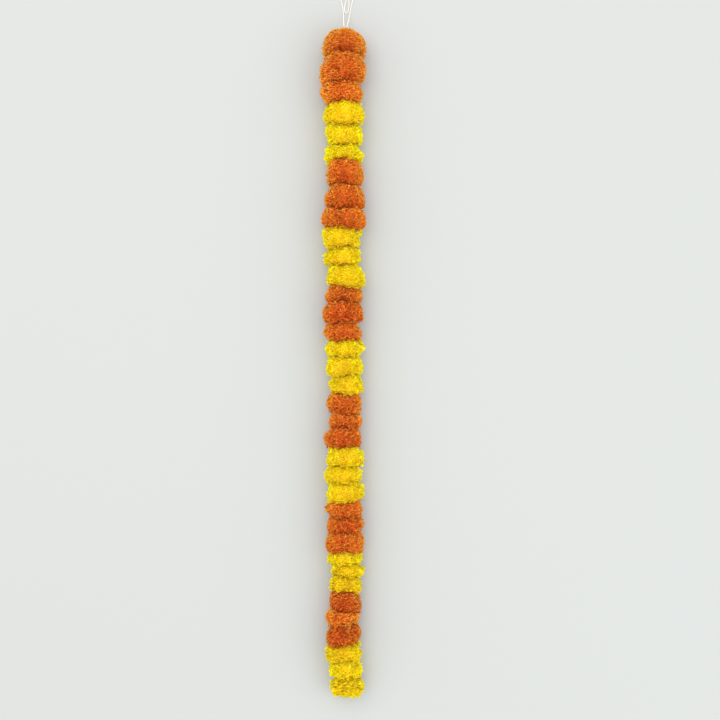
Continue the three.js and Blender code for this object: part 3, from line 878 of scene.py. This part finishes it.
# %% Petal styles
# length, width, wave and clump are in mm, and clump is how far clumps stand out. roll is how much petals turn
# about their own length, and curl how far they turn back, both in radians. bend is how suddenly they turn
# back, and cup is how deep they are for their width. area is the square mm that each tip has to itself.
USUAL = {
    "length": 9.0, "width": 7.2, "roll": 0.9, "curl": (0.1, 1.2), "bend": 2.2, "cup": (-0.12, 0.24),
    "wave": 1.3, "area": TIP_AREA, "clump": 3.0,
}
RAYS = {
    **USUAL, "length": 13.0, "width": 6.0, "roll": 0.3, "curl": (0.2, 1.1), "cup": (0.05, 0.3), "wave": 0.7,
    "area": 10.5, "clump": 4.0,
}
FANNED = {
    **USUAL, "length": 12.5, "width": 5.8, "roll": 0.25, "curl": (0.1, 1.1), "cup": (0.0, 0.3), "wave": 0.8,
    "area": 10.5,
}
SOFT = {**USUAL, "length": 7.5, "width": 8.2, "roll": 0.6, "curl": (0.0, 0.9), "wave": 0.6, "clump": 4.5}
SOFT_LAST = {**SOFT, "length": 12.5, "curl": (0.1, 1.2), "area": 12.0}
STYLES = {FIRST: FANNED, 1: RAYS, 30: FANNED, 32: FANNED, LAST: SOFT_LAST}
COLOURS = ("orange", "yellow")
RUN = 3  # blooms of one colour in a row
print(len(STYLES), "blooms of a special style")


def colour_number(bloom):
    """0 for an orange bloom and 1 for a yellow one."""
    return bloom // RUN % 2


# %% Petal sizes, tones and painted light and shade
UPPER_CURL = 0.8  # radians that petals curl further back at the top of a bloom, and less at its lower end
SMALLEST = 0.6  # share of the style's length that petals nearest the thread have
TONE, TONE_SPREAD = 0.5, 0.12  # of the petals of a usual bloom, and from petal to petal
CLUMP_PAINTED_SHADING, LOBE_PAINTED_SHADING, TOP_PAINTED_LIGHT = 0.3, 0.14, 0.3  # painted light and shade: gained on a clump, for a mm of lobe, and at the top, and lost in hollows and towards the lower end
# How much lighter than the rest some blooms are, or deeper in colour.
LIGHTER = {
    0: 0.5, 1: 0.6, 2: 0.5, 4: 0.2, 5: 0.4, 6: 0.2, 13: -0.3, 15: 0.2, 20: -0.3, 25: -0.2,
    27: 0.2, 28: -0.2, 29: -0.3, 30: -0.3, 31: 0.2, 32: -0.4, 33: -0.2, 34: 0.2, 35: -0.3,
}


def petal_sizes(bloom, station, style):
    """Length, width and extra curl of each petal: smaller where it stands nearer the thread than the groove
    at a seam, and curled further back on the upper half."""
    share = outline(bloom, station)[0]
    small = np.clip(share / GROOVE, SMALLEST, 1)
    turn = UPPER_CURL * np.clip(station, -1, 1)
    return {"length": style["length"] * small, "width": style["width"] * (0.5 + 0.5 * small), "turn": turn}


def petal_tones(bloom, station, clump, lobe, random):
    """Tone of each petal, with some chance in it, plus painted light and shade: lighter where petals stand
    out, and near the bloom's face at its upper end, and deeper in hollows and towards its lower end."""
    mean = TONE + LIGHTER.get(bloom, 0) + CLUMP_PAINTED_SHADING * clump + LOBE_PAINTED_SHADING * lobe + TOP_PAINTED_LIGHT * station
    return np.clip(random.normal(mean, TONE_SPREAD), 0, 1)


# %% Make the blooms
BLOOM_WIDTHS, BLOOM_WAVES = (0.9, 1.12), (0.85, 1.2)  # shares of the style's petal width and wave
TIP_MEAN, TIP_SPREAD, TIP_LOWEST, TIP_HIGHEST = -0.2, 0.7, -2.4, 1.2  # mm that single tips stand out
CORE_ALONG, CORE_TONE = 0.75, 0.4  # the petal colour that the core takes


def make_bloom(bloom):
    """A bloom's petals and core in one piece, with the values that its material reads."""
    random = np.random.default_rng(1000 + bloom)
    style = dict(STYLES.get(bloom, (USUAL, SOFT)[colour_number(bloom)]))
    style["width"] *= random.uniform(*BLOOM_WIDTHS)
    style["wave"] *= random.uniform(*BLOOM_WAVES)
    station, angle = petal_places(bloom, random, style["area"])
    count = len(station)
    tip, out, up = stand(bloom, station, angle)
    clump = clumps(bloom, station, angle)
    lobe = lobes(bloom, station, angle)
    bulge = style["clump"] * clump + lobe + side_bulge(bloom, station, angle)
    single = np.clip(random.normal(TIP_MEAN, TIP_SPREAD, (count, 1)), TIP_LOWEST, TIP_HIGHEST)
    tip = tip + out * (bulge[:, None] + single)
    petals = grow_petals(tip, out, up, petal_sizes(bloom, station, style), style, random)
    each = petals.shape[1]
    faces = (PETAL_FACES[None] + (np.arange(count) * each)[:, None, None]).reshape(-1, 4)
    core, core_faces = bloom_core(bloom)
    points = np.concatenate([press(bloom, petals), press(bloom, core)])
    core_faces = [group + count * each for group in core_faces]
    groups = [np.concatenate([faces, core_faces[0]]), *core_faces[1:]]

    def with_core(grid, core_value):
        """A value for every point: those of one petal's grid again for each petal, then the core's."""
        petal = np.concatenate([grid.ravel(), grid[INNER]])
        return np.concatenate([np.tile(petal, count), np.full(len(core), core_value)])

    along = with_core(np.repeat(ALONG, COLUMNS).reshape(ROWS, COLUMNS), CORE_ALONG)
    across = with_core(np.tile(ACROSS, ROWS).reshape(ROWS, COLUMNS), 0.0)
    rim = with_core(~INNER, False)
    tone = np.repeat(petal_tones(bloom, station, clump, lobe, random), each)
    tone = np.concatenate([tone, np.full(len(core), CORE_TONE)])
    colour = COLOURS[colour_number(bloom)]
    make_piece(
        f"marigold_{bloom + 1:02d}", points, groups, PETALS[colour], [f"bloom_{bloom + 1:02d}_{colour}"],
        f"petals_{colour}", rim=rim, along=along, across=across, tone=tone,
    )
    return count


petal_counts = [make_bloom(bloom) for bloom in range(len(BLOOMS))]
print(sum(petal_counts), "petals, from", min(petal_counts), "to", max(petal_counts), "in a bloom")

# %% [markdown]
# ## The last calyx
# Under the last bloom, inside its turned-back petals, sits its calyx: a green cup of bracts grown together,
# with a rib for each bract, which narrows to the cut stem. It is a profile carried round the thread.

# %% Calyx material
bract, tree, shader = new_material(
    "green bract", Roughness=0.5, Subsurface_Weight=0.1, Subsurface_Scale=0.002
)
spot = add_node(tree, "ShaderNodeTexCoord").outputs["Object"]
# Flecks of 2 mm.
fleck = add_node(tree, "ShaderNodeTexNoise", Vector=spot, Scale=500.0, Detail=3.0)
green = add_node(tree, "ShaderNodeValToRGB", Fac=fleck.outputs["Fac"])
set_ramp(green, [(0.3, "#567a2a"), (0.7, "#93ad55")])
bump = add_node(tree, "ShaderNodeBump", Height=fleck.outputs["Fac"], Strength=0.3, Distance=0.0003)
tree.links.new(green.outputs["Color"], shader.inputs["Base Color"])
tree.links.new(bump.outputs["Normal"], shader.inputs["Normal"])

# %% Calyx
CALYX_SIDES = 96
RIBS = 8
CALYX_PROFILE = np.array([
    # radius, height from the last seam, depth of the ribs
    [1.9, 2.6, 0], [3.2, 2.6, 0], [3.8, 3.0, 0.1], [4.2, 4.2, 0.2], [5.2, 5.4, 0.4], [6.3, 6.8, 0.5],
    [6.9, 8.4, 0.5], [7.0, 10.0, 0.4], [6.6, 11.2, 0.3], [5.6, 11.6, 0], [1.9, 11.6, 0],
])
angle = np.arange(CALYX_SIDES) / CALYX_SIDES * 2 * np.pi
radius = CALYX_PROFILE[:, :1] - CALYX_PROFILE[:, 2:] * (0.5 + 0.5 * np.cos(RIBS * angle)) ** 2
x = THREAD_X + radius * np.cos(angle)
z = THREAD_Z + radius * np.sin(angle)
y = seam(len(BLOOMS), x, z) + CALYX_PROFILE[:, 1:2]
cup = np.stack([x, y, z], -1).reshape(-1, 3)
cup_faces = grid_faces(len(CALYX_PROFILE) + 1, CALYX_SIDES, closed=True) % len(cup)
make_piece("last_calyx", cup, [cup_faces[:, ::-1]], bract, ["calyx"], "calyx_green")
print("calyx with", RIBS, "ribs")

# %% Sizes and finish
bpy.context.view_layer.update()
total = sum(sum(len(p.vertices) - 2 for p in o.data.polygons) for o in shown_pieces() if o.type == "MESH")
print("triangles:", total)
